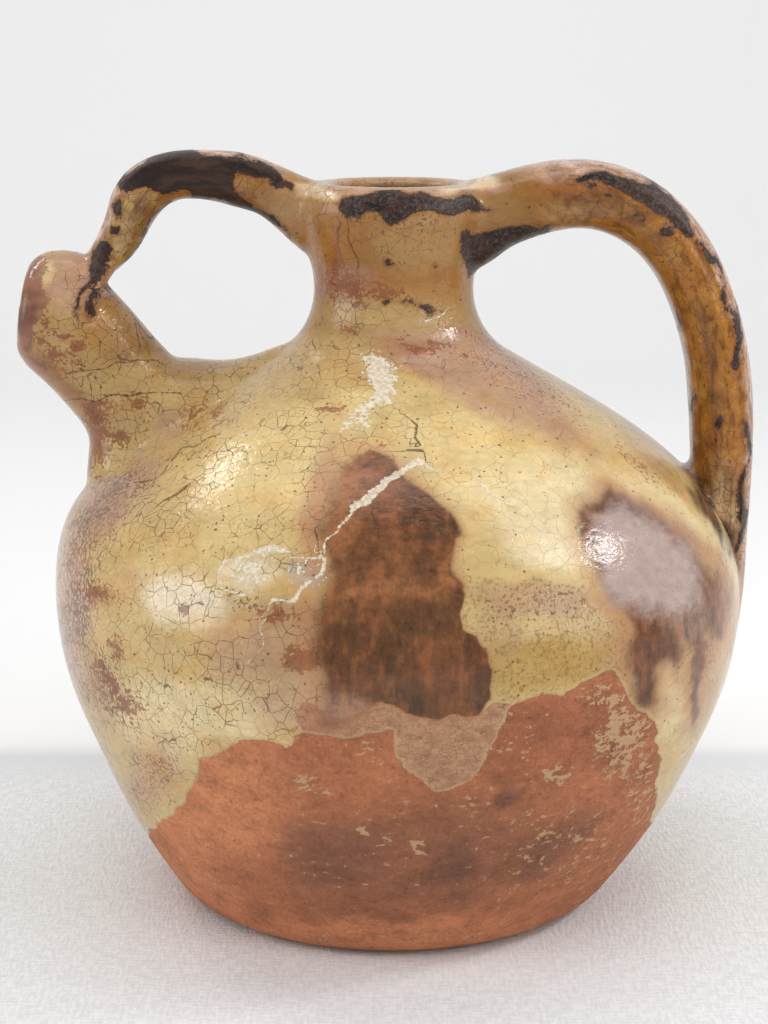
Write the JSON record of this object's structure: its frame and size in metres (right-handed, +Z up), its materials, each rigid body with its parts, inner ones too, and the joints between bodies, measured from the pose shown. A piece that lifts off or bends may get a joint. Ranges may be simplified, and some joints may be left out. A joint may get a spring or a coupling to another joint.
{
  "type": "spouted water pitcher",
  "caption": "Squat round glazed earthenware water pitcher with a flared neck, a side spout tied to the rim by an arched stay, and a strap handle.",
  "frame": {"origin": "centre of the flat underside, on the axis that the pot was turned about", "axes": "+Z up along the turning axis, +X towards the strap handle, -X towards the spout"},
  "size_m": [0.1889, 0.1768, 0.1924],
  "materials": {
    "yellow_glaze_over_clay": "gloss lead glaze, crazed, with a bare terracotta foot",
    "ochre_glaze": "gloss glaze, crazed",
    "dark_edged_glaze": "gloss glaze with a worn brown-black band",
    "crackled_glaze": "gloss glaze, crazed, worn at the lip",
    "smoothed_glaze": "gloss glaze, crazed",
    "brown_black_glaze": "gloss brown-black glaze over ochre",
    "amber_glaze": "gloss amber glaze, streaked lengthwise"
  },
  "bodies": {
    "root": {"body": "yellow_glaze_over_clay", "neck": "ochre_glaze", "rim": "dark_edged_glaze", "spout": "crackled_glaze", "spout_collar": "smoothed_glaze", "bridge": "brown_black_glaze", "handle": "amber_glaze"}
  },
  "joints": []
}
